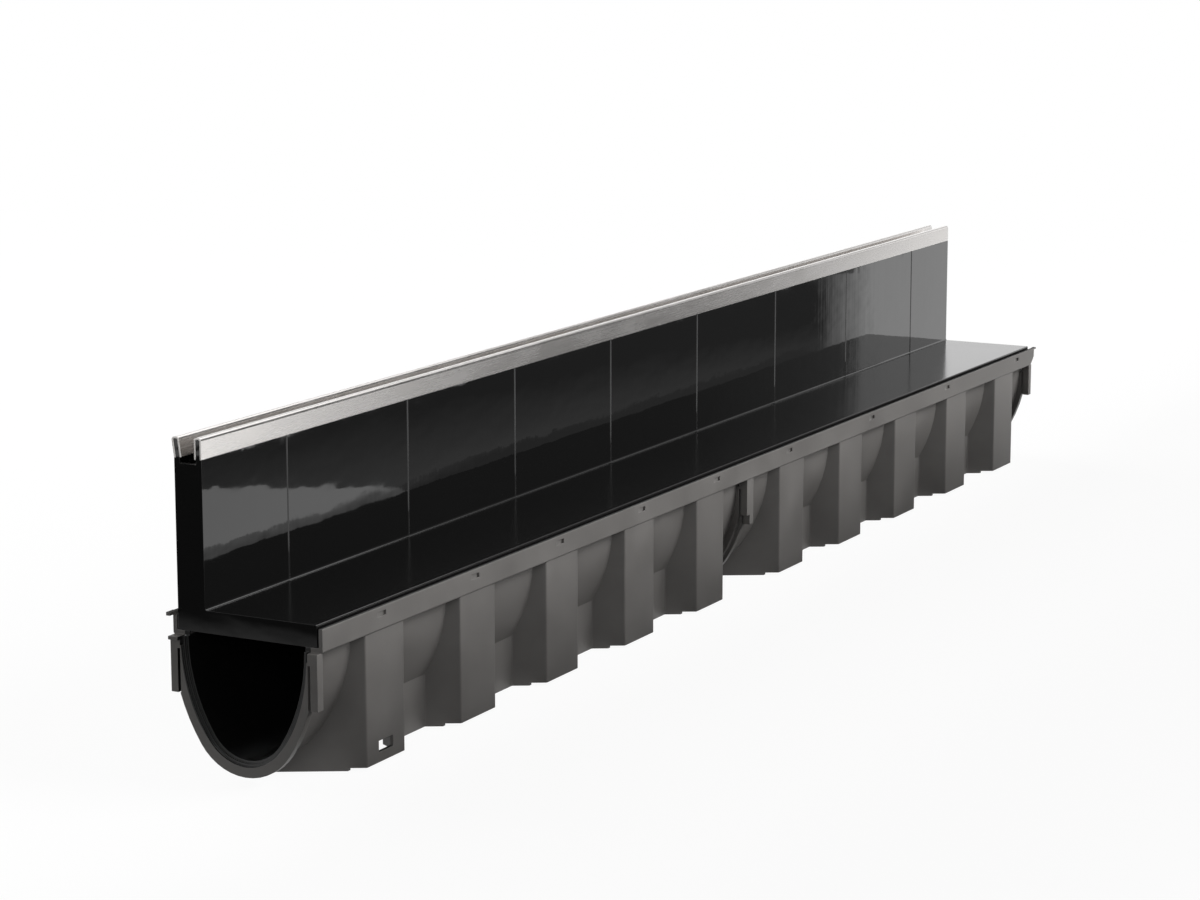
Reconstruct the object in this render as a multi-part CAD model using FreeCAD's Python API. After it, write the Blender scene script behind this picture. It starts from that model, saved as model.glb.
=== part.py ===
"""Channel drain: moulded trough with a hexagonal skirt, an offset slot top and two edge rails (mm)."""
import FreeCAD
import Part
import math
import os

# Overall sizes
LENGTH = 1000.0
WIDTH = 90.0
HEIGHT = 174.0
FRAME_TOP = 85.5

# Two equal halves, each with its own ribs and collars
HALVES = 2
RIBS_PER_HALF = 5

# Trough: three tangent arcs hung from the rims
TROUGH_INSET = 7.8
TROUGH_DEPTH = 63.0
TROUGH_FLOOR_RADIUS = 26.0
TROUGH_WALL = 2.2

# Rims
RIM_WALL = 2.2
RIM_DROP = 1.7
RIM_LEDGE = 2.4
RIM_EDGE_RADIUS = 0.6
RIM_LOWER_RADIUS = 0.9
RIM_CORNER_RUN = 7.0
RIM_CORNER_RISE = 6.0

# Skirt under the rims, folded like half hexagons
RIB_FACE = 37.0
RIB_END_GAP = 41.5
RIB_DEPTH = 17.0
RIB_SET_BACK = 1.1
FLANK_ANGLE = 60.0
SKIRT_WALL = 2.0
SKIRT_RADIUS = 1.4
RIB_FOOT_STEP = 1.6

# Collars with their lugs, and the steps inside the first one
COLLAR_THICK = 4.0
COLLAR_RADIAL = 6.1
COLLAR_TOP_GAP = 4.8
SPIGOT_RADIAL = 4.0
SPIGOT_LUG_CUT = 6.4
SOCKET_STEPS = 2
SOCKET_STEP_RUN = 1.3
SOCKET_STEP_RADIAL = 1.4
LUG_SET_BACK = 0.8
LUG_THICK = 5.0
LUG_WIDTH = 5.8
LUG_HEIGHT = 29.4
LUG_GROOVE_WIDTH = 1.6
LUG_GROOVE_DEPTH = 2.4
LUG_GROOVE_LIP = 1.4

# Guide tabs at the first end of the rear rim, and the lips that overlap the next channel's rims
TAB_REACH = 6.0
TAB_THICK = 1.8
LIP_REACH = 4.0
LIP_THICK = 1.2

# Wedge pockets in the rims' outer faces; ends measured from the channel's middle
POCKET_ENDS = (-440.0, -345.0, -250.0, -150.0, -49.0, 58.0, 192.0, 328.0, 467.0)
POCKET_LENGTH = 9.0
POCKET_HEIGHT = 2.6
POCKET_DEPTH = 1.3
POCKET_DROP = 2.6

# Anchor slots low in the first rib
ANCHOR_WIDTH = 14.0
ANCHOR_HEIGHT = 6.0
ANCHOR_FOOT = 7.0

# Slot frame: flange with skirts and two upright walls
FRAME_GAP = 1.0
FRAME_SHORT = 5.0
FRAME_PLATE = 3.0
FRAME_SKIRT = 11.7
FRAME_SKIRT_WALL = 2.4
FRAME_EDGE_RADIUS = 0.7
SLOT_GAP = 9.8
SLOT_ROOT_RADIUS = 1.2
STATIONS = 8
STATION_END_GAP = 77.2
SPACER_THICK = 2.0
SPACER_TOP_GAP = 22.0
END_WEB_THICK = 3.0
END_WEB_TOP_GAP = 2.6
BEAD_RADIUS = 0.7
BEAD_HEIGHT = 0.35
STIFFENER_DEPTH = 7.0

# Edge rails
RAIL_HEIGHT = 11.2
RAIL_SHEET = 1.0
RAIL_TONGUE = 2.4
RAIL_RADIUS = 1.6
REAR_LEAN = 8.0

# Derived sizes
START = -LENGTH / 2
END = LENGTH / 2
HALF_LENGTH = LENGTH / HALVES
HALF_WIDTH = WIDTH / 2
TROUGH_HALF = HALF_WIDTH - TROUGH_INSET
FLOOR_DROP = TROUGH_DEPTH - TROUGH_FLOOR_RADIUS
SIDE_RADIUS = ((TROUGH_HALF**2 + FLOOR_DROP**2 - TROUGH_FLOOR_RADIUS**2)
               / (2 * (TROUGH_HALF - TROUGH_FLOOR_RADIUS)))
SIDE_SHIFT = SIDE_RADIUS - TROUGH_HALF
SIDE_ANGLE = math.atan2(FLOOR_DROP, SIDE_SHIFT)
RIM_TOP = FRAME_TOP - RIM_DROP
LEDGE_TOP = FRAME_TOP - FRAME_SKIRT
RIM_BASE = LEDGE_TOP - RIM_LEDGE
RIM_INNER = HALF_WIDTH - RIM_WALL
RIB_Y = HALF_WIDTH - RIB_SET_BACK
RECESS_Y = RIB_Y - RIB_DEPTH
FLANK_RUN = RIB_DEPTH / math.tan(math.radians(FLANK_ANGLE))
APEX_RUN = RIB_Y / math.tan(math.radians(FLANK_ANGLE))
RIB_PITCH = (HALF_LENGTH - 2 * RIB_END_GAP - RIB_FACE) / (RIBS_PER_HALF - 1)
LUG_OUTER = HALF_WIDTH - LUG_SET_BACK
LUG_INNER = LUG_OUTER - LUG_WIDTH
STATION_PITCH = (LENGTH - 2 * STATION_END_GAP) / (STATIONS - 1)
FRAME_HALF = RIM_INNER - FRAME_GAP
FRAME_END = END - FRAME_SHORT
PLATE_BASE = FRAME_TOP - FRAME_PLATE
SLOT_WALL = RAIL_SHEET + RAIL_TONGUE
SLOT_REAR = FRAME_HALF - SLOT_WALL
SLOT_FRONT = SLOT_REAR - SLOT_GAP
WALL_FRONT = SLOT_FRONT - SLOT_WALL
RAIL_BASE = HEIGHT - RAIL_HEIGHT
RAIL_WIDTH = RAIL_TONGUE + 2 * RAIL_SHEET
RAIL_INNER_RADIUS = RAIL_RADIUS - RAIL_SHEET
LEAN = math.radians(REAR_LEAN)
REAR_RAIL_HEIGHT = (RAIL_HEIGHT - RAIL_WIDTH * math.sin(LEAN)) / math.cos(LEAN)
CENTRE_SHIFT = (TAB_REACH - LIP_REACH) / 2

X_AXIS = FreeCAD.Vector(1, 0, 0)
Y_AXIS = FreeCAD.Vector(0, 1, 0)
Z_AXIS = FreeCAD.Vector(0, 0, 1)


def box(x0, x1, y0, y1, z0, z1):
    """Returns a box between two corners."""
    return Part.makeBox(x1 - x0, y1 - y0, z1 - z0, FreeCAD.Vector(x0, y0, z0))


def mirrored(shape):
    """Returns the shape with its copy on the other long side."""
    return [shape, shape.mirror(FreeCAD.Vector(), Y_AXIS)]


def rounded_face(corners):
    """Returns a flat face from (point, radius) corners, each rounded by its radius."""
    edges = []
    tangents = []
    for index, (point, radius) in enumerate(corners):
        back = corners[index - 1][0] - point
        ahead = corners[(index + 1) % len(corners)][0] - point
        half = back.getAngle(ahead) / 2
        reach = radius / math.tan(half)
        first = point + back.normalize() * reach
        last = point + ahead.normalize() * reach
        tangents.append((first, last))
        if radius:
            bisector = (back + ahead).normalize()
            middle = point + bisector * (radius / math.sin(half) - radius)
            edges.append(Part.Arc(first, middle, last).toShape())
        else:
            edges.append(None)
    outline = []
    for index, edge in enumerate(edges):
        if edge:
            outline.append(edge)
        start = tangents[index][1]
        end = tangents[(index + 1) % len(tangents)][0]
        if not start.isEqual(end, FreeCAD.Base.Precision.confusion()):
            outline.append(Part.makeLine(start, end))
    return Part.Face(Part.Wire(outline))


def section(x, corners):
    """Returns a face across the channel at x from (y, z, radius) corners."""
    return rounded_face([(FreeCAD.Vector(x, y, z), radius) for y, z, radius in corners])


def bowl(x0, x1, offset, rise=0.0):
    """Returns a solid bar with the trough's section, offset outward and raised above the rims' base."""
    half = TROUGH_HALF + offset
    outer = SIDE_RADIUS + offset
    floor = FreeCAD.Vector(x0, 0, RIM_BASE - TROUGH_DEPTH - offset)
    spring = FreeCAD.Vector(x0, half, RIM_BASE)
    angles = (SIDE_ANGLE / 2, SIDE_ANGLE)
    middle, joint = (
        FreeCAD.Vector(x0, outer * math.cos(a) - SIDE_SHIFT, RIM_BASE - outer * math.sin(a)) for a in angles
    )
    far_middle, far_joint, far_spring = (FreeCAD.Vector(p.x, -p.y, p.z) for p in (middle, joint, spring))
    arcs = [
        Part.Arc(far_spring, far_middle, far_joint),
        Part.Arc(far_joint, floor, joint),
        Part.Arc(joint, middle, spring),
    ]
    lift = Z_AXIS * rise
    corners = [spring, far_spring] if not rise else [spring, spring + lift, far_spring + lift, far_spring]
    edges = [arc.toShape() for arc in arcs] + Part.makePolygon(corners).Edges
    return Part.Face(Part.Wire(edges)).extrude(X_AXIS * (x1 - x0))


def rim_band():
    """Returns both rims with the ledge between them."""
    corners = [
        (-HALF_WIDTH, RIM_BASE, RIM_LOWER_RADIUS),
        (HALF_WIDTH, RIM_BASE, RIM_LOWER_RADIUS),
        (HALF_WIDTH, RIM_TOP, RIM_EDGE_RADIUS),
        (RIM_INNER, RIM_TOP, RIM_EDGE_RADIUS),
        (RIM_INNER, LEDGE_TOP, 0),
        (-RIM_INNER, LEDGE_TOP, 0),
        (-RIM_INNER, RIM_TOP, RIM_EDGE_RADIUS),
        (-HALF_WIDTH, RIM_TOP, RIM_EDGE_RADIUS),
    ]
    return section(START, corners).extrude(X_AXIS * LENGTH)


def skirt_plan(half_start):
    """Returns the skirt's outside corners in plan for one half, all the way round."""
    side = [(half_start + RIB_END_GAP - APEX_RUN, 0.0)]
    for rib in range(RIBS_PER_HALF):
        left = half_start + RIB_END_GAP + rib * RIB_PITCH
        right = left + RIB_FACE
        side += [(left, -RIB_Y), (right, -RIB_Y)]
        if rib < RIBS_PER_HALF - 1:
            side += [(right + FLANK_RUN, -RECESS_Y), (left + RIB_PITCH - FLANK_RUN, -RECESS_Y)]
    side.append((right + APEX_RUN, 0.0))
    return side + [(x, -y) for x, y in reversed(side[1:-1])]


def inset(points, distance):
    """Returns a closed run of plan points moved inward by a distance."""
    moved = []
    count = len(points)
    for index, point in enumerate(points):
        here = FreeCAD.Vector(*point)
        before = (here - FreeCAD.Vector(*points[index - 1])).normalize()
        after = (FreeCAD.Vector(*points[(index + 1) % count]) - here).normalize()
        normal = Z_AXIS.cross(before) + Z_AXIS.cross(after)
        scale = distance / (1 + before.dot(after))
        moved.append((here.x + normal.x * scale, here.y + normal.y * scale))
    return moved


def skirt_prism(points, radius):
    """Returns the solid inside a plan outline, from the foot up into the ledge."""
    corners = [(FreeCAD.Vector(x, y, 0), radius) for x, y in points]
    return rounded_face(corners).extrude(Z_AXIS * (RIM_BASE + RIM_LEDGE / 2))


def skirt(half_start):
    """Returns one half's folded skirt wall, its ribs' feet cut a little short."""
    plan = skirt_plan(half_start)
    wall = skirt_prism(plan, SKIRT_RADIUS).cut(skirt_prism(inset(plan, SKIRT_WALL), 0))
    step_start = RIB_Y - RIB_DEPTH / 2
    step = box(half_start, half_start + HALF_LENGTH, step_start, HALF_WIDTH, 0, RIB_FOOT_STEP)
    return wall.cut(mirrored(step))


def collar(x0, radial, lug_height):
    """Returns a collar with a grooved lug on each side; it starts at x0."""
    x1 = x0 + COLLAR_THICK
    ring = bowl(x0, x1, radial)
    top = box(x0, x1, TROUGH_HALF, HALF_WIDTH, RIM_BASE - COLLAR_TOP_GAP, RIM_BASE)
    lug = box(x0, x0 + LUG_THICK, LUG_INNER, LUG_OUTER, RIM_BASE - lug_height, RIM_BASE)
    groove = box(x0, x0 + LUG_GROOVE_DEPTH, LUG_INNER, LUG_INNER + LUG_GROOVE_WIDTH,
                 RIM_BASE - lug_height, RIM_BASE - COLLAR_TOP_GAP - LUG_GROOVE_LIP)
    return ring.cut(mirrored(top)).fuse(mirrored(lug)).cut(mirrored(groove))


def guide_tabs():
    """Returns the two tabs that reach past the first end of the rear rim, one flush with the lug's top."""
    upper = box(START - TAB_REACH, START, RIM_INNER, HALF_WIDTH, RIM_TOP - TAB_THICK, RIM_TOP)
    lower = box(START - TAB_REACH, START, LUG_INNER, LUG_OUTER, RIM_BASE - TAB_THICK, RIM_BASE)
    return [upper, lower]


def end_lips():
    """Returns the thin lips at the far end of both rims."""
    lip = box(END, END + LIP_REACH, RIM_INNER, HALF_WIDTH, RIM_TOP - LIP_THICK, RIM_TOP)
    return mirrored(lip)


def rim_pockets():
    """Returns the wedges to cut from the rims, deepest at their far ends."""
    wedges = []
    base = RIM_TOP - POCKET_DROP - POCKET_HEIGHT
    for x in POCKET_ENDS:
        plan = [(x - POCKET_LENGTH, -HALF_WIDTH), (x, -HALF_WIDTH), (x, POCKET_DEPTH - HALF_WIDTH)]
        face = rounded_face([(FreeCAD.Vector(a, b, base), 0) for a, b in plan])
        wedges += mirrored(face.extrude(Z_AXIS * POCKET_HEIGHT))
    return wedges


def rim_corner_cuts():
    """Returns the wedges that take off the rims' lower corners at the far end."""
    points = [(END - RIM_CORNER_RUN, RIM_BASE), (END, RIM_BASE), (END, RIM_BASE + RIM_CORNER_RISE)]
    face = rounded_face([(FreeCAD.Vector(x, RIM_INNER, z), 0) for x, z in points])
    return mirrored(face.extrude(Y_AXIS * RIM_WALL))


def anchor_slots():
    """Returns the boxes that open the anchor slots in the first rib's two faces."""
    middle = START + RIB_END_GAP + RIB_FACE / 2
    slot = box(middle - ANCHOR_WIDTH / 2, middle + ANCHOR_WIDTH / 2, RIB_Y - RIB_DEPTH / 2, RIB_Y,
               ANCHOR_FOOT, ANCHOR_FOOT + ANCHOR_HEIGHT)
    return mirrored(slot)


def socket_steps():
    """Returns the bowls that step the first collar's mouth open."""
    mouth = START - COLLAR_THICK
    steps = []
    for step in range(SOCKET_STEPS):
        offset = (step + 1) * SOCKET_STEP_RADIAL - TROUGH_WALL
        steps.append(bowl(mouth, mouth + (SOCKET_STEPS - step) * SOCKET_STEP_RUN, offset))
    return steps


def channel_body():
    """Builds the one-piece channel: rims, trough, skirts, collars, lugs and tabs."""
    solids = [bowl(START, END, 0.0)]
    for half in range(HALVES):
        half_start = START + half * HALF_LENGTH
        half_end = half_start + HALF_LENGTH
        solids.append(skirt(half_start))
        solids.append(collar(half_start - COLLAR_THICK, COLLAR_RADIAL, LUG_HEIGHT))
        solids.append(collar(half_end - 2 * COLLAR_THICK, SPIGOT_RADIAL, LUG_HEIGHT - SPIGOT_LUG_CUT))
    body = rim_band().fuse(solids + guide_tabs() + end_lips())
    hollow = bowl(START - COLLAR_THICK, END, -TROUGH_WALL, RIM_LEDGE)
    cuts = [hollow] + socket_steps() + rim_pockets() + rim_corner_cuts() + anchor_slots()
    return body.cut(cuts).removeSplitter()


def station_positions():
    """Returns the x positions of the spacers, beads and stiffeners."""
    return [START + STATION_END_GAP + index * STATION_PITCH for index in range(STATIONS)]


def front_point(out, up):
    """Places a point of the front rail's section: out from the wall's face, up from the rail's base."""
    return WALL_FRONT - out, RAIL_BASE + up


def rear_point(out, up):
    """Places a point of the rear rail's section, leaning outward about the rail's outer foot."""
    y = FRAME_HALF + out * math.cos(LEAN) + up * math.sin(LEAN)
    z = RAIL_BASE - out * math.sin(LEAN) + up * math.cos(LEAN)
    return y, z


def tongue_corners(place, height):
    """Returns the corners of the thinned wall top inside a rail, outer side first."""
    top = height - RAIL_SHEET
    return [
        (*place(-RAIL_SHEET, 0), 0),
        (*place(-RAIL_SHEET, top), RAIL_INNER_RADIUS),
        (*place(-SLOT_WALL, top), RAIL_INNER_RADIUS),
    ]


def frame_front():
    """Returns the flange with its front skirt and the front wall."""
    corners = [
        (-FRAME_HALF, LEDGE_TOP, 0),
        (-FRAME_HALF, FRAME_TOP, FRAME_EDGE_RADIUS),
        (WALL_FRONT, FRAME_TOP, SLOT_ROOT_RADIUS),
        (WALL_FRONT, RAIL_BASE, 0),
        *tongue_corners(front_point, RAIL_HEIGHT),
        (SLOT_FRONT, PLATE_BASE, 0),
        (FRAME_SKIRT_WALL - FRAME_HALF, PLATE_BASE, 0),
        (FRAME_SKIRT_WALL - FRAME_HALF, LEDGE_TOP, 0),
    ]
    return section(START, corners).extrude(X_AXIS * (FRAME_END - START))


def frame_rear():
    """Returns the rear wall with the skirt below it."""
    corners = [
        (FRAME_HALF, LEDGE_TOP, 0),
        (FRAME_HALF, RAIL_BASE, 0),
        *tongue_corners(rear_point, REAR_RAIL_HEIGHT),
        (*rear_point(-SLOT_WALL, 0), 0),
        (SLOT_REAR, RAIL_BASE, 0),
        (SLOT_REAR, PLATE_BASE, 0),
        (FRAME_HALF - FRAME_SKIRT_WALL, PLATE_BASE, 0),
        (FRAME_HALF - FRAME_SKIRT_WALL, LEDGE_TOP, 0),
    ]
    return section(START, corners).extrude(X_AXIS * (FRAME_END - START))


def frame_webs():
    """Returns the end webs, spacers, stiffeners and beads that repeat along the frame."""
    webs = []
    for x in (START, FRAME_END - END_WEB_THICK):
        webs.append(box(x, x + END_WEB_THICK, -FRAME_HALF, FRAME_HALF, LEDGE_TOP, PLATE_BASE))
        top = RAIL_BASE - END_WEB_TOP_GAP
        webs.append(box(x, x + END_WEB_THICK, SLOT_FRONT, SLOT_REAR, PLATE_BASE, top))
    for x in station_positions():
        x0, x1 = x - SPACER_THICK / 2, x + SPACER_THICK / 2
        webs.append(box(x0, x1, SLOT_FRONT, SLOT_REAR, PLATE_BASE, RAIL_BASE - SPACER_TOP_GAP))
        skirt_face = FRAME_SKIRT_WALL - FRAME_HALF
        webs.append(box(x0, x1, skirt_face, SLOT_FRONT, PLATE_BASE - STIFFENER_DEPTH, PLATE_BASE))
        inner = BEAD_RADIUS - BEAD_HEIGHT
        for y in (WALL_FRONT + inner, FRAME_HALF - inner):
            foot = FreeCAD.Vector(x, y, FRAME_TOP)
            webs.append(Part.makeCylinder(BEAD_RADIUS, RAIL_BASE - FRAME_TOP, foot, Z_AXIS))
    return webs


def slot_frame():
    """Builds the one-piece slot top."""
    return frame_front().fuse([frame_rear()] + frame_webs()).removeSplitter()


def rail(place, height):
    """Builds one folded edge rail whose section is placed by a point function."""
    crown = height - RAIL_SHEET
    corners = [
        (*place(0, 0), 0),
        (*place(0, height), RAIL_RADIUS),
        (*place(-RAIL_WIDTH, height), RAIL_RADIUS),
        (*place(-RAIL_WIDTH, 0), 0),
        (*place(-SLOT_WALL, 0), 0),
        (*place(-SLOT_WALL, crown), RAIL_INNER_RADIUS),
        (*place(-RAIL_SHEET, crown), RAIL_INNER_RADIUS),
        (*place(-RAIL_SHEET, 0), 0),
    ]
    return section(START, corners).extrude(X_AXIS * (FRAME_END - START))


def main():
    """Exports every piece, centred on the bounding box."""
    os.makedirs("parts", exist_ok=True)
    pieces = {
        "channel_body": channel_body(),
        "slot_frame": slot_frame(),
        "rail_front": rail(front_point, RAIL_HEIGHT),
        "rail_rear": rail(rear_point, REAR_RAIL_HEIGHT),
    }
    for name, shape in pieces.items():
        shape.translate(X_AXIS * CENTRE_SHIFT)
        shape.exportStep(f"parts/{name}.step")


main()
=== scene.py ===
"""Slot channel drain: finishes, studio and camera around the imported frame."""
import logging
import math
from dataclasses import dataclass, field
from enum import Enum

import bpy
from mathutils import Matrix, Vector

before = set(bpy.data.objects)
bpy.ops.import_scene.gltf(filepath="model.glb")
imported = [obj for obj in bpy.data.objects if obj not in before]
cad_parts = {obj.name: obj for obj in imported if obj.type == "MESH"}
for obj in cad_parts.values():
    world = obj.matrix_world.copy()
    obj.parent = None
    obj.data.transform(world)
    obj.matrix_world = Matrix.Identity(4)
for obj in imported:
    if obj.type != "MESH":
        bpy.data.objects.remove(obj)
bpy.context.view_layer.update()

LOG = logging.getLogger("slot_channel")
MM = 0.001
WHITE = "#FFFFFF"
# How finely the easing of a sharp corner is sampled
CORNER_SAMPLES = 6
# A Mix node's colour sockets share their names with its others, so they go by number
MIX_A, MIX_B, MIX_OUT = 6, 7, 2

Tree = bpy.types.NodeTree
Socket = bpy.types.NodeSocket
Colour = tuple[float, float, float, float]
Point = tuple[float, float, float]
Pair = tuple[float, float]

ALONG: Point = (1.0, 0.0, 0.0)
ACROSS: Point = (0.0, 1.0, 0.0)
UPWARD: Point = (0.0, 0.0, 1.0)


def linear(code: str) -> Colour:
    """Turns an sRGB hex colour into a linear one.

    Args:
        code: Six hex digits, with or without a leading hash.

    Returns:
        Red, green, blue and full alpha, linear.
    """
    digits = code.lstrip("#")
    shares = [int(digits[i:i + 2], 16) / 255 for i in (0, 2, 4)]
    # The sRGB curve: straight up to its knee and a power from there
    red, green, blue = (s / 12.92 if s <= 0.04045 else ((s + 0.055) / 1.055) ** 2.4 for s in shares)
    return red, green, blue, 1.0


def add_node(tree: Tree, kind: str, inputs: dict | None = None, **settings: object) -> bpy.types.Node:
    """Adds a node with its settings and links.

    Args:
        tree: The node tree it goes in.
        kind: The node's type, such as ShaderNodeBump.
        inputs: Socket name or number to a value, or to the output that feeds it.
        settings: Properties to set on the node itself.

    Returns:
        The new node.
    """
    node = tree.nodes.new(kind)
    for name, value in settings.items():
        setattr(node, name, value)
    for key, value in (inputs or {}).items():
        if isinstance(value, bpy.types.NodeSocket):
            tree.links.new(value, node.inputs[key])
        else:
            node.inputs[key].default_value = value
    return node


def between(source: Socket, span: Pair, result: Pair = (0.0, 1.0)) -> dict[str, object]:
    """Gives the inputs that map one range of values to another, held at both ends.

    Args:
        source: The output to map.
        span: The range it is read over, from first to last.
        result: What the first and the last become.

    Returns:
        Values for a Map Range node, by input.
    """
    first, last = span
    low, high = result
    return {"Value": source, "From Min": first, "From Max": last, "To Min": low, "To Max": high}


def relief(tree: Tree, under: Socket, *layers: tuple[Socket, float]) -> Socket:
    """Lays heights over a normal, one on the other.

    Args:
        tree: The node tree.
        under: The normal that they lie on.
        layers: Each height, from 0 to 1, with its depth in millimetres.

    Returns:
        The normal with all of them on it.
    """
    for height, depth_mm in layers:
        inputs = {"Height": height, "Distance": depth_mm * MM, "Normal": under}
        under = add_node(tree, "ShaderNodeBump", inputs).outputs["Normal"]
    return under


def per_metre(millimetres: float) -> float:
    """Returns how many features of that many millimetres there are to a metre."""
    return 1.0 / (millimetres * MM)


class Slot(Enum):
    """The record's material slots."""

    CHANNEL = "channel_plastic"
    FRAME = "frame_plastic"
    RAIL = "rail_steel"


@dataclass(frozen=True)
class Pattern:
    """Noise fixed to a piece, whose features have a real size."""

    # Feature size along X, Y and Z
    size_mm: Point
    # Octaves of finer noise, and how much of each octave the next one keeps
    detail: float
    finer: float = 0.5
    # Depth where the noise is a relief
    depth_mm: float = 0.0

    def build(self, tree: Tree) -> Socket:
        """Adds the noise.

        Args:
            tree: The node tree.

        Returns:
            The noise's value, from 0 to 1.
        """
        place = add_node(tree, "ShaderNodeTexCoord").outputs["Object"]
        scale = tuple(per_metre(size) for size in self.size_mm)
        scaled = add_node(tree, "ShaderNodeMapping", {"Vector": place, "Scale": scale})
        inputs = {
            "Vector": scaled.outputs["Vector"],
            "Scale": 1.0,
            "Detail": self.detail,
            "Roughness": self.finer,
        }
        return add_node(tree, "ShaderNodeTexNoise", inputs).outputs["Fac"]


@dataclass(frozen=True)
class Finish:
    """What every finish shares: its name, its eased corners and the tree it is built in."""

    name: str
    # Radius that sharp corners are eased to
    edge_mm: float

    def start(self) -> tuple[bpy.types.Material, Tree, bpy.types.Node, Socket]:
        """Makes an empty material with its output and shader, and eases its corners.

        Returns:
            The material, its tree, its shader and the normal with eased corners.
        """
        material = bpy.data.materials.new(self.name)
        material.use_nodes = True
        tree = material.node_tree
        tree.nodes.clear()
        shader = add_node(tree, "ShaderNodeBsdfPrincipled")
        add_node(tree, "ShaderNodeOutputMaterial", {"Surface": shader.outputs["BSDF"]})
        eased = add_node(tree, "ShaderNodeBevel", {"Radius": self.edge_mm * MM}, samples=CORNER_SAMPLES)
        return material, tree, shader, eased.outputs["Normal"]


@dataclass(frozen=True)
class SparkErodedPolypropylene(Finish):
    """Charcoal polypropylene: spark-eroded mould outside, polished core inside the trough; painted shade
    inside it and on the rims' tops, a painted highlight on corners.
    """

    name: str = "polypropylene_spark_eroded"
    edge_mm: float = 0.5
    # Recycled black with a warm grey cast: reads as charcoal, never as ink
    pale: str = "#656361"
    deep: str = "#585654"
    # Painted highlight: sharp corners are coloured lighter, standing in for the light their edges catch
    painted_corner_highlight: str = "#6C6A68"
    # The polished core leaves the trough's inside smooth; its ink black is painted shade, for the shadowed
    # inside of the trough and the socket
    painted_inner_shade: str = "#0E0E0E"
    # The rims' top edges lie on the mould's split and are left coarse; their dark colour is painted shade,
    # for tops that take less light
    split_and_painted_shade: str = "#1C1C1C"
    # Polypropylene's own index; the fine grain spreads its sheen wide
    ior: float = 1.49
    rough: Pair = (0.46, 0.58)
    rough_inside: float = 0.3
    rough_split: float = 0.85
    # Cooling makes broad cloudy patches about as wide as a rib
    cloud: Pattern = Pattern((34.0, 34.0, 34.0), detail=3.0)
    # Ranges of the cloud over which colour and roughness change
    cloud_colour: Pair = (0.3, 0.7)
    cloud_rough: Pair = (0.35, 0.65)
    # Mould grain is near 0.1 mm; drawn at 0.6 mm so that it shows at all
    grain: Pattern = Pattern((0.6, 0.6, 0.6), detail=2.0, depth_mm=0.012)
    # Drag marks from pulling the part off its core run upward
    drag: Pattern = Pattern((5.0, 5.0, 120.0), detail=2.0, depth_mm=0.008)
    # The painted corner highlight begins where easing turns a normal by the first cosine's
    # angle, and is full at the second one's
    corner_highlight_cos: Pair = (0.995, 0.9)
    # A rim's top is level to within angles of these cosines, and lies above this height
    level_cos: Pair = (0.8, 0.95)
    split_mm: float = 83.0
    # The core side faces the line at this height along the trough, to within angles of these
    # cosines, and ends under the rims
    core_mm: float = 50.0
    core_cos: Pair = (0.45, 0.55)
    core_top_mm: float = 72.0
    # The stepped socket, short of this x, lies in half an ellipse that hangs from this height;
    # the pair is the ellipse's half width and its depth
    socket_x_mm: float = -498.0
    socket_mm: Pair = (38.0, 63.8)
    socket_top_mm: float = 71.4

    def corner_highlight_share(self, tree: Tree, eased: Socket) -> Socket:
        """Finds the sharp corners that take the painted highlight.

        Args:
            tree: The node tree.
            eased: The normal with eased corners.

        Returns:
            How strongly a point lies on a sharp corner, from 0 to 1.
        """
        flat = add_node(tree, "ShaderNodeNewGeometry").outputs["Normal"]
        turned = add_node(tree, "ShaderNodeVectorMath", {0: eased, 1: flat}, operation="DOT_PRODUCT")
        inputs = between(turned.outputs["Value"], self.corner_highlight_cos)
        return add_node(tree, "ShaderNodeMapRange", inputs).outputs["Result"]

    def socket_steps(self, tree: Tree) -> Socket:
        """Finds the steps inside the first collar.

        Args:
            tree: The node tree.

        Returns:
            1 on the steps and 0 elsewhere.
        """
        half, deep = self.socket_mm
        place = add_node(tree, "ShaderNodeTexCoord").outputs["Object"]
        move = {
            "Vector": place,
            "Location": (0.0, 0.0, -self.socket_top_mm / deep),
            "Scale": (0.0, per_metre(half), per_metre(deep)),
        }
        across = add_node(tree, "ShaderNodeMapping", move).outputs["Vector"]
        away = add_node(tree, "ShaderNodeVectorMath", {0: across}, operation="LENGTH").outputs["Value"]
        within = add_node(tree, "ShaderNodeMath", {0: away, 1: 1.0}, operation="LESS_THAN")
        along = add_node(tree, "ShaderNodeSeparateXYZ", {0: place}).outputs["X"]
        short = add_node(tree, "ShaderNodeMath", {0: along, 1: self.socket_x_mm * MM}, operation="LESS_THAN")
        both = {0: within.outputs[0], 1: short.outputs[0]}
        return add_node(tree, "ShaderNodeMath", both, operation="MULTIPLY").outputs[0]

    def rim_top(self, tree: Tree) -> Socket:
        """Finds the level top faces of the rims, which take painted shade.

        Args:
            tree: The node tree.

        Returns:
            1 on them and 0 elsewhere.
        """
        flat = add_node(tree, "ShaderNodeNewGeometry").outputs["Normal"]
        upward = add_node(tree, "ShaderNodeSeparateXYZ", {0: flat}).outputs["Z"]
        level = add_node(tree, "ShaderNodeMapRange", between(upward, self.level_cos))
        place = add_node(tree, "ShaderNodeTexCoord").outputs["Object"]
        height = add_node(tree, "ShaderNodeSeparateXYZ", {0: place}).outputs["Z"]
        high = add_node(tree, "ShaderNodeMath", {0: height, 1: self.split_mm * MM}, operation="GREATER_THAN")
        both = {0: level.outputs["Result"], 1: high.outputs[0]}
        return add_node(tree, "ShaderNodeMath", both, operation="MULTIPLY").outputs[0]

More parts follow.
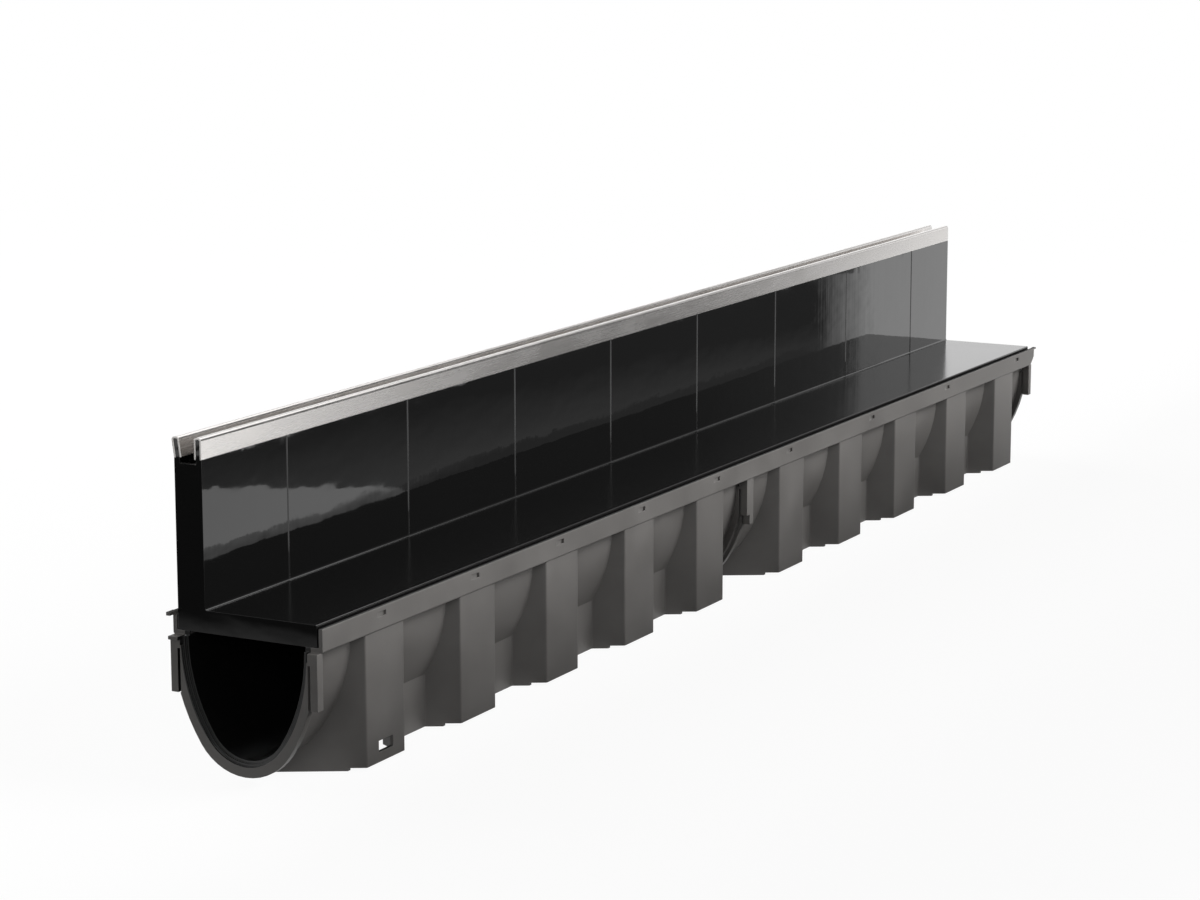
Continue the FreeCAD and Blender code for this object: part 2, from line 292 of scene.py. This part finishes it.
    def core_side(self, tree: Tree) -> Socket:
        """Finds the core side, which faces the trough's middle, and the socket with it; they take painted
        shade and the core's smoother finish.

        Args:
            tree: The node tree.

        Returns:
            1 on them and 0 elsewhere.
        """
        place = add_node(tree, "ShaderNodeTexCoord").outputs["Object"]
        move = {"Vector": place, "Location": (0.0, 0.0, self.core_mm * MM), "Scale": (0.0, -1.0, -1.0)}
        inward = add_node(tree, "ShaderNodeMapping", move).outputs["Vector"]
        way = add_node(tree, "ShaderNodeVectorMath", {0: inward}, operation="NORMALIZE").outputs["Vector"]
        flat = add_node(tree, "ShaderNodeNewGeometry").outputs["Normal"]
        turned = add_node(tree, "ShaderNodeVectorMath", {0: way, 1: flat}, operation="DOT_PRODUCT")
        facing = add_node(tree, "ShaderNodeMapRange", between(turned.outputs["Value"], self.core_cos))
        height = add_node(tree, "ShaderNodeSeparateXYZ", {0: place}).outputs["Z"]
        low = add_node(tree, "ShaderNodeMath", {0: height, 1: self.core_top_mm * MM}, operation="LESS_THAN")
        both = {0: facing.outputs["Result"], 1: low.outputs[0]}
        core = add_node(tree, "ShaderNodeMath", both, operation="MULTIPLY").outputs[0]
        either = {0: core, 1: self.socket_steps(tree)}
        return add_node(tree, "ShaderNodeMath", either, operation="MAXIMUM").outputs[0]

    def build(self) -> bpy.types.Material:
        """Builds the finish.

        Returns:
            The material.
        """
        material, tree, shader, eased = self.start()
        clouds, grain, drag = (pattern.build(tree) for pattern in (self.cloud, self.grain, self.drag))
        # Masks: painted highlight on sharp corners, the core side with its painted shade, and the rim tops
        # with their painted shade
        painted_corner_highlight, core_and_painted_shade, split_and_painted_shade = self.corner_highlight_share(tree, eased), self.core_side(tree), self.rim_top(tree)
        cloudy = add_node(tree, "ShaderNodeMapRange", between(clouds, self.cloud_colour))
        colour = linear(self.deep)
        for share, code in (
            (cloudy.outputs["Result"], self.pale),
            (painted_corner_highlight, self.painted_corner_highlight),
            (split_and_painted_shade, self.split_and_painted_shade),
            (core_and_painted_shade, self.painted_inner_shade),
        ):
            inputs = {"Factor": share, MIX_A: colour, MIX_B: linear(code)}
            colour = add_node(tree, "ShaderNodeMix", inputs, data_type="RGBA").outputs[MIX_OUT]
        patchy = add_node(tree, "ShaderNodeMapRange", between(clouds, self.cloud_rough, self.rough))
        roughness = patchy.outputs["Result"]
        for share, value in ((split_and_painted_shade, self.rough_split), (core_and_painted_shade, self.rough_inside)):
            inputs = {"Factor": share, "A": roughness, "B": value}
            roughness = add_node(tree, "ShaderNodeMix", inputs, data_type="FLOAT").outputs[0]
        normal = relief(tree, eased, (drag, self.drag.depth_mm), (grain, self.grain.depth_mm))
        tree.links.new(colour, shader.inputs["Base Color"])
        tree.links.new(roughness, shader.inputs["Roughness"])
        tree.links.new(normal, shader.inputs["Normal"])
        shader.inputs["IOR"].default_value = self.ior
        return material


@dataclass(frozen=True)
class PolishedMouldPlastic(Finish):
    """Black plastic from a polished mould: mirror sharp, but never quite flat."""

    name: str = "abs_polished_mould"
    edge_mm: float = 0.14
    # Piano black: almost no colour of its own, so all that shows is reflection
    colour: str = "#0A0A0A"
    # Upper end of what styrene plastics have; gives the strong glancing mirror
    ior: float = 1.58
    rough: Pair = (0.015, 0.06)
    # Thin walls cool unevenly and warp in shallow waves, longer than they are high
    wave: Pattern = Pattern((48.0, 48.0, 26.0), detail=2.5, depth_mm=0.145)
    # Pulling the frame off its core leaves faint upright streaks
    streak: Pattern = Pattern((7.0, 7.0, 260.0), detail=3.0, finer=0.6, depth_mm=0.02)
    # Handling leaves a faint haze in long patches, over this range of the noise
    haze: Pattern = Pattern((120.0, 30.0, 30.0), detail=4.0, finer=0.6)
    haze_rough: Pair = (0.4, 0.7)
    # The flange's top came off a plainer plate, so its mirror is soft; it is the faces whose
    # normals are upright to within angles of these cosines
    rough_top: float = 0.17
    top_cos: Pair = (0.5, 0.9)

    def build(self) -> bpy.types.Material:
        """Builds the finish.

        Returns:
            The material.
        """
        material, tree, shader, eased = self.start()
        wave, streak, haze = (pattern.build(tree) for pattern in (self.wave, self.streak, self.haze))
        upright = add_node(tree, "ShaderNodeMapRange", between(haze, self.haze_rough, self.rough))
        facing = add_node(tree, "ShaderNodeNewGeometry").outputs["Normal"]
        upward = add_node(tree, "ShaderNodeSeparateXYZ", {0: facing}).outputs["Z"]
        top = add_node(tree, "ShaderNodeMapRange", between(upward, self.top_cos))
        inputs = {"Factor": top.outputs["Result"], "A": upright.outputs["Result"], "B": self.rough_top}
        roughness = add_node(tree, "ShaderNodeMix", inputs, data_type="FLOAT").outputs[0]
        normal = relief(tree, eased, (wave, self.wave.depth_mm), (streak, self.streak.depth_mm))
        tree.links.new(roughness, shader.inputs["Roughness"])
        tree.links.new(normal, shader.inputs["Normal"])
        shader.inputs["Base Color"].default_value = linear(self.colour)
        shader.inputs["IOR"].default_value = self.ior
        return material


@dataclass(frozen=True)
class ColdRolledStainless(Finish):
    """Stainless strip, cold rolled and folded: satin, with fine lines along its length."""

    name: str = "stainless_cold_rolled"
    edge_mm: float = 0.4
    # Warm light grey; a metal's colour tints every reflection
    pale: str = "#E4E1DF"
    deep: str = "#D8D5D2"
    rough: Pair = (0.22, 0.3)
    # Rolling lines are hair fine across and about a quarter of a metre long
    line: Pattern = Pattern((240.0, 0.35, 0.35), detail=3.0, finer=0.6, depth_mm=0.0018)
    # Handling smudges the strip in long patches
    smudge: Pattern = Pattern((40.0, 9.0, 9.0), detail=3.0)
    # Range of lines and smudges together over which colour and roughness change
    mark_span: Pair = (0.8, 1.2)

    def build(self) -> bpy.types.Material:
        """Builds the finish.

        Returns:
            The material.
        """
        material, tree, shader, eased = self.start()
        lines, smudge = self.line.build(tree), self.smudge.build(tree)
        marks = add_node(tree, "ShaderNodeMath", {0: lines, 1: smudge}, operation="ADD").outputs[0]
        share = add_node(tree, "ShaderNodeMapRange", between(marks, self.mark_span))
        roughness = add_node(tree, "ShaderNodeMapRange", between(marks, self.mark_span, self.rough))
        inputs = {"Factor": share.outputs["Result"], MIX_A: linear(self.deep), MIX_B: linear(self.pale)}
        colour = add_node(tree, "ShaderNodeMix", inputs, data_type="RGBA").outputs[MIX_OUT]
        tree.links.new(colour, shader.inputs["Base Color"])
        tree.links.new(roughness.outputs["Result"], shader.inputs["Roughness"])
        tree.links.new(relief(tree, eased, (lines, self.line.depth_mm)), shader.inputs["Normal"])
        shader.inputs["Metallic"].default_value = 1.0
        return material


@dataclass
class DressedNodes:
    """CAD pieces that keep their own shape and take one finish."""

    names: tuple[str, ...]
    slot: Slot
    finish: Finish

    def build(self) -> None:
        """Gives every named piece its finish."""
        material = self.finish.build()
        for name in self.names:
            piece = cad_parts[name]
            piece.data.materials.clear()
            piece.data.materials.append(material)
            LOG.info("%s: %s", name, material.name)


def lying(height: float, *outline: Pair) -> tuple[Point, ...]:
    """Returns the corners of a face that lies level at a height."""
    return tuple((x, y, height) for x, y in outline)


def flat_piece(name: str, corners: tuple[Point, ...]) -> bpy.types.Object:
    """Makes one flat face that belongs to the studio, with an empty material.

    Args:
        name: The name of the object and of its material.
        corners: The corners in order, in metres.

    Returns:
        The object.
    """
    mesh = bpy.data.meshes.new(name)
    mesh.from_pydata(corners, [], [tuple(range(len(corners)))])
    piece = bpy.data.objects.new(name, mesh)
    bpy.context.scene.collection.objects.link(piece)
    material = bpy.data.materials.new(name)
    material.use_nodes = True
    material.node_tree.nodes.clear()
    mesh.materials.append(material)
    return piece


@dataclass(frozen=True)
class SoftLamp:
    """A soft rectangular light that lights the part and is never seen itself."""

    name: str
    place: Point
    size: Pair
    watts: float
    # The middle of the channel, a little above the floor
    target: Point = (0.0, 0.0, 0.05)

    def build(self) -> None:
        """Hangs the light and turns it to its target."""
        light = bpy.data.lights.new(self.name, "AREA")
        light.shape = "RECTANGLE"
        light.size, light.size_y = self.size
        light.energy = self.watts
        lamp = bpy.data.objects.new(self.name, light)
        lamp.location = self.place
        lamp.rotation_mode = "QUATERNION"
        lamp.rotation_quaternion = (Vector(self.target) - Vector(self.place)).to_track_quat("-Z", "Y")
        lamp.visible_camera = False
        lamp.visible_glossy = False
        bpy.context.scene.collection.objects.link(lamp)


@dataclass
class Studio:
    """Plain pale floor, white surround and soft lights, with a dark side towards the collar end."""

    floor_half: float = 12.0
    # White paper as it is looked at, and the darker share of light that it gives back
    floor_shown: str = "#F4F4F4"
    floor_bounce: str = "#4A4A4A"
    # Share of plain white near the part and far from it, and the distances that count as that
    white_share: Pair = (0.94, 1.0)
    white_reach: Pair = (0.7, 2.2)
    # Strength of the surround's light, and where round the part it changes, as a direction's x
    side_light: Pair = (0.05, 0.22)
    side_span: Pair = (-0.5, 0.5)
    # The flag's near edge, as y and z, then the y of its far edge and its half length
    flag_edge: Pair = (-0.165, 0.094)
    flag_size: Pair = (-0.6, 1.6)
    lamps: tuple[SoftLamp, ...] = (
        SoftLamp("key", (1.6, -2.9, 1.9), (2.4, 2.4), 217.0),
        SoftLamp("fill", (-2.6, -1.0, 0.9), (1.6, 1.2), 18.0),
        SoftLamp("back", (0.5, 2.8, 2.0), (2.6, 1.8), 80.0),
    )

    def seen(self, tree: Tree) -> Socket:
        """Tells rays that look at the surround from rays that only light the part.

        Args:
            tree: The node tree.

        Returns:
            1 for rays that look, straight, in a reflection or through glass.
        """
        path = add_node(tree, "ShaderNodeLightPath").outputs
        looks = path["Is Camera Ray"]
        for kind in ("Is Glossy Ray", "Is Transmission Ray"):
            either = {0: looks, 1: path[kind]}
            looks = add_node(tree, "ShaderNodeMath", either, operation="MAXIMUM").outputs[0]
        return looks

    def build_world(self) -> None:
        """Makes a world that lights softly, least from the collar end, and looks white."""
        world = bpy.data.worlds.new("surround")
        bpy.context.scene.world = world
        world.use_nodes = True
        tree = world.node_tree
        tree.nodes.clear()
        way = add_node(tree, "ShaderNodeTexCoord").outputs["Generated"]
        along = add_node(tree, "ShaderNodeSeparateXYZ", {0: way}).outputs["X"]
        light = add_node(tree, "ShaderNodeMapRange", between(along, self.side_span, self.side_light))
        inputs = {"Factor": self.seen(tree), "A": light.outputs["Result"], "B": 1.0}
        strength = add_node(tree, "ShaderNodeMix", inputs, data_type="FLOAT").outputs[0]
        surface = add_node(tree, "ShaderNodeBackground", {"Color": linear(WHITE), "Strength": strength})
        add_node(tree, "ShaderNodeOutputWorld", {"Surface": surface.outputs[0]})

    def build_floor(self) -> None:
        """Makes the floor, pale and matt, with the part's soft shadow on it."""
        half = self.floor_half
        outline = ((-half, -half), (half, -half), (half, half), (-half, half))
        floor = flat_piece("floor", lying(0.0, *outline))
        tree = floor.data.materials[0].node_tree
        seen = self.seen(tree)
        colours = {"Factor": seen, MIX_A: linear(self.floor_bounce), MIX_B: linear(self.floor_shown)}
        tint = add_node(tree, "ShaderNodeMix", colours, data_type="RGBA").outputs[MIX_OUT]
        paper = add_node(tree, "ShaderNodeBsdfDiffuse", {"Color": tint}).outputs[0]
        glow = add_node(tree, "ShaderNodeEmission", {"Color": linear(WHITE), "Strength": 1.0}).outputs[0]
        place = add_node(tree, "ShaderNodeTexCoord").outputs["Object"]
        away = add_node(tree, "ShaderNodeVectorMath", {0: place}, operation="LENGTH").outputs["Value"]
        white = add_node(tree, "ShaderNodeMapRange", between(away, self.white_reach, self.white_share))
        both = {0: seen, 1: white.outputs["Result"]}
        share = add_node(tree, "ShaderNodeMath", both, operation="MULTIPLY").outputs[0]
        surface = add_node(tree, "ShaderNodeMixShader", {0: share, 1: paper, 2: glow}).outputs[0]
        add_node(tree, "ShaderNodeOutputMaterial", {"Surface": surface})

    def build_flag(self) -> None:
        """Hangs a flag in front, which takes the key down towards the skirt's foot."""
        near, height = self.flag_edge
        far, reach = self.flag_size
        outline = ((-reach, near), (reach, near), (reach, far), (-reach, far))
        flag = flat_piece("flag", lying(height, *outline))
        for kind in ("camera", "diffuse", "glossy", "transmission"):
            setattr(flag, f"visible_{kind}", False)

    def build(self) -> None:
        """Builds the whole studio."""
        self.build_world()
        self.build_floor()
        for lamp in self.lamps:
            lamp.build()
        self.build_flag()
        bpy.context.scene.view_settings.view_transform = "Standard"
        LOG.info("studio: floor, surround and %d lamps", len(self.lamps))


@dataclass(frozen=True)
class GlossCard:
    """A card that only the part's gloss sees, as a studio sets round a black product."""

    name: str
    # Corners in millimetres
    corners: tuple[Point, ...]
    # Brightness at the start and the end of its fade; two equal ones make it even
    strength: Pair
    # The direction it fades in, of length 1, and where along that it starts and ends
    way: Point = ALONG
    fade_mm: Pair = (-1.0, 1.0)

    def build(self) -> None:
        """Makes the card, hidden from everything but gloss."""
        card = flat_piece(self.name, tuple(tuple(c * MM for c in corner) for corner in self.corners))
        tree = card.data.materials[0].node_tree
        place = add_node(tree, "ShaderNodeTexCoord").outputs["Object"]
        along = add_node(tree, "ShaderNodeVectorMath", {0: place, 1: self.way}, operation="DOT_PRODUCT")
        first, last = self.fade_mm
        fade = between(along.outputs["Value"], (first * MM, last * MM), self.strength)
        strength = add_node(tree, "ShaderNodeMapRange", fade).outputs["Result"]
        light = add_node(tree, "ShaderNodeEmission", {"Color": linear(WHITE), "Strength": strength})
        add_node(tree, "ShaderNodeOutputMaterial", {"Surface": light.outputs[0]})
        for kind in ("camera", "diffuse", "shadow", "transmission"):
            setattr(card, f"visible_{kind}", False)


@dataclass
class CardSet:
    """The cards whose edges are the edges of the bright areas in the black wall, in millimetres."""

    # Cards on the floor; where two overlap, the upper one shows
    lowest: float = 0.5
    middle: float = 0.6
    highest: float = 0.7
    # Lines along the part, by their y: under its front edge, then the grey mat's two edges
    part_y: float = -40.0
    mat_back: float = -275.0
    mat_front: float = -468.0
    # The bright patch lies on the mat's near end and overlaps its back edge; it ends on a slant,
    # at the first x at the back and at the second in front
    patch_back: float = -273.0
    patch_end: Pair = (167.0, 53.0)
    # The near ends of mat and patch, past all that the wall mirrors
    near: float = -2500.0
    # Where the mat's back edge bends, and where the standing card meets the mat
    bend: float = 1006.0
    standing: Pair = (1385.0, -437.0)
    # The rails mirror one card up to this x, and from there one that starts dim
    rail_change: float = 900.0
    rail_front: float = -3000.0

    def on_mat(self) -> tuple[GlossCard, ...]:
        """Returns the cards in front that the black wall mirrors."""
        back, front = self.patch_end
        near = self.near
        return (
            # Grey mat past the patch, darker towards its front
            GlossCard(
                "card_mat",
                lying(
                    self.lowest, (back, self.mat_back), (self.bend, self.mat_back), self.standing,
                    (1455, self.mat_front), (front, self.mat_front),
                ),
                (0.27, 0.08), (-0.168, 0.986, 0.0), (-292, -500),
            ),
            # Floor under the wall's foot, darker close to the part
            GlossCard(
                "card_mat_inner",
                lying(
                    self.lowest, (near, self.part_y), (470, self.part_y),
                    (self.bend, self.mat_back), (near, self.mat_back),
                ),
                (0.12, 0.25), (-0.06, -0.998, 0.0), (246, 276),
            ),
            # Bright patch that the near end of the wall mirrors
            GlossCard(
                "card_patch",
                lying(
                    self.highest, (near, self.patch_back), (back, self.patch_back),
                    (front, self.mat_front), (near, self.mat_front),
                ),
                (1.15, 1.15),
            ),
            # The patch's soft edge towards the part
            GlossCard(
                "card_glow",
                lying(
                    self.highest, (near, -240), (150, -240),
                    (back, self.patch_back), (near, self.patch_back),
                ),
                (0.28, 0.6), ACROSS, (-250, self.patch_back),
            ),
            # Bright floor past a slanted line, which the far end of the wall mirrors
            GlossCard(
                "card_bright_floor",
                lying(
                    self.middle, (385, self.part_y), (1359, self.mat_front),
                    (4500, self.mat_front), (4500, self.part_y),
                ),
                (0.13, 1.27), (0.402, 0.916, 0.0), (119, 174),
            ),
        )

    def for_rails(self) -> tuple[GlossCard, ...]:
        """Returns the cards further out, which the rails mirror."""
        change, far, front = self.rail_change, self.mat_front, self.rail_front
        return (
            # Brightest by the near end and dimmer along the rails
            GlossCard(
                "card_rail_near",
                lying(self.middle, (60, far), (change, far), (change, front), (60, front)),
                (2.35, 0.37), fade_mm=(300, 730),
            ),
            # Brighter again to the far end
            GlossCard(
                "card_rail_far",
                lying(self.middle, (change, far), (6000, far), (6000, front), (change, front)),
                (0.2, 0.93), fade_mm=(1000, 1550),
            ),
        )

    def around(self) -> tuple[GlossCard, ...]:
        """Returns the cards that stand, hang or lie away from the part's front."""
        x, y = self.standing
        return (
            # Dim screen past the far end, square to the part
            GlossCard(
                "card_front",
                ((x, y, 1), (x, -3200, 1), (x, -3200, 2500), (x, y, 2500)),
                (0.28, 0.12), ACROSS, (y, -640),
            ),
            # Strip of floor before the near end, bright close by, for the faces that look that way
            GlossCard(
                "card_behind",
                lying(self.lowest, (-560, -50), (-560, 3000), (-1215, 3000), (-1215, -50)),
                (0.32, 0.05), fade_mm=(-740, -774),
            ),
            # Ceiling, evenly bright
            GlossCard(
                "card_above",
                lying(1300, (-1500, -900), (1500, -900), (1500, 900), (-1500, 900)),
                (1.6, 1.6),
            ),
            # Far screen, bright low down, which the flange's top mirrors
            GlossCard(
                "card_far",
                ((5000, -2200, 1), (5000, 6000, 1), (5000, 6000, 6500), (5000, -2200, 6500)),
                (1.32, 0.45), UPWARD, (1500, 2200),
            ),
        )

    def build(self) -> None:
        """Builds every card."""
        cards = self.on_mat() + self.for_rails() + self.around()
        for card in cards:
            card.build()
        LOG.info("gloss cards: %d", len(cards))


@dataclass
class Viewpoint:
    """The camera, where the photograph was taken from."""

    place: Point = (-1.8056, -0.8957, 0.4728)
    # Degrees: round the part, up from level, and about the line of sight
    azimuth: float = -62.0
    elevation: float = 10.88
    roll: float = -0.05
    # Focal length and width in the photograph's own pixels
    focal_px: float = 3226.1
    width_px: float = 1200.0
    sensor_mm: float = 36.0
    clip_start: float = 0.05

    def build(self) -> None:
        """Makes the camera and sets it as the scene's."""
        data = bpy.data.cameras.new("viewpoint")
        data.sensor_width = self.sensor_mm
        data.lens = self.focal_px / self.width_px * self.sensor_mm
        data.clip_start = self.clip_start
        camera = bpy.data.objects.new("viewpoint", data)
        bpy.context.scene.collection.objects.link(camera)
        bpy.context.scene.camera = camera
        turn, lift, roll = (math.radians(a) for a in (self.azimuth, self.elevation, self.roll))
        back = Vector((math.sin(turn) * math.cos(lift), -math.cos(turn) * math.cos(lift), math.sin(lift)))
        level = Vector((math.cos(turn), math.sin(turn), 0.0))
        upright = back.cross(level)
        right = level * math.cos(roll) + upright * math.sin(roll)
        up = upright * math.cos(roll) - level * math.sin(roll)
        rotation = Matrix((right, up, back)).transposed()
        camera.matrix_world = Matrix.Translation(self.place) @ rotation.to_4x4()
        LOG.info("camera: %.1f mm lens", data.lens)


@dataclass
class SlotChannel:
    """The whole drain: channel, slot frame and edge rails, each in its own finish."""

    parts: list[DressedNodes] = field(
        default_factory=lambda: [
            DressedNodes(("channel_body",), Slot.CHANNEL, SparkErodedPolypropylene()),
            DressedNodes(("slot_frame",), Slot.FRAME, PolishedMouldPlastic()),
            DressedNodes(("rail_front", "rail_rear"), Slot.RAIL, ColdRolledStainless()),
        ]
    )

    def build(self) -> None:
        """Dresses every piece."""
        for part in self.parts:
            part.build()


def main() -> None:
    """Builds the drain, its studio and the camera."""
    logging.basicConfig(level=logging.INFO, format="%(name)s: %(message)s")
    Viewpoint().build()
    SlotChannel().build()
    Studio().build()
    CardSet().build()


if __name__ == "__main__":
    main()
